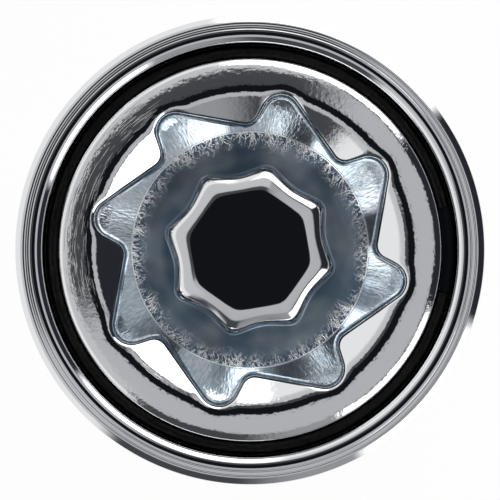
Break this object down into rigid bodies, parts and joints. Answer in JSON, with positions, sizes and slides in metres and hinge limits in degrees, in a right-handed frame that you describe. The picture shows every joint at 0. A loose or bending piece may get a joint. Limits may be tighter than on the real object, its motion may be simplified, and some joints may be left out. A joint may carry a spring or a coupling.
{
  "type": "locking wheel nut",
  "caption": "Chrome-plated locking wheel nut with a saw-tooth lobed key recess round a star post, a free-spinning collar, a cone seat and a blind thread.",
  "frame": {"origin": "centre of the end face at the small end of the cone seat, on the thread's axis", "axes": "+Z along the thread's axis towards the key recess; +X to the right in the picture's view from above"},
  "size_m": [0.027, 0.027, 0.035],
  "materials": {
    "nut_chrome": "bright chrome plating, satin in the key recess",
    "collar_chrome": "bright chrome plating over fine turning lines",
    "ring_steel": "drawn spring wire"
  },
  "bodies": {
    "nut": {"nut_body": "nut_chrome", "retaining_ring": "ring_steel"},
    "collar": {"spinning_collar": "collar_chrome"}
  },
  "joints": [
    {"name": "collar_spin", "type": "hinge", "parent": "nut", "child": "collar", "pos_m": [0, 0, 0.022], "axis": [0, 0, 1], "continuous": true}
  ]
}
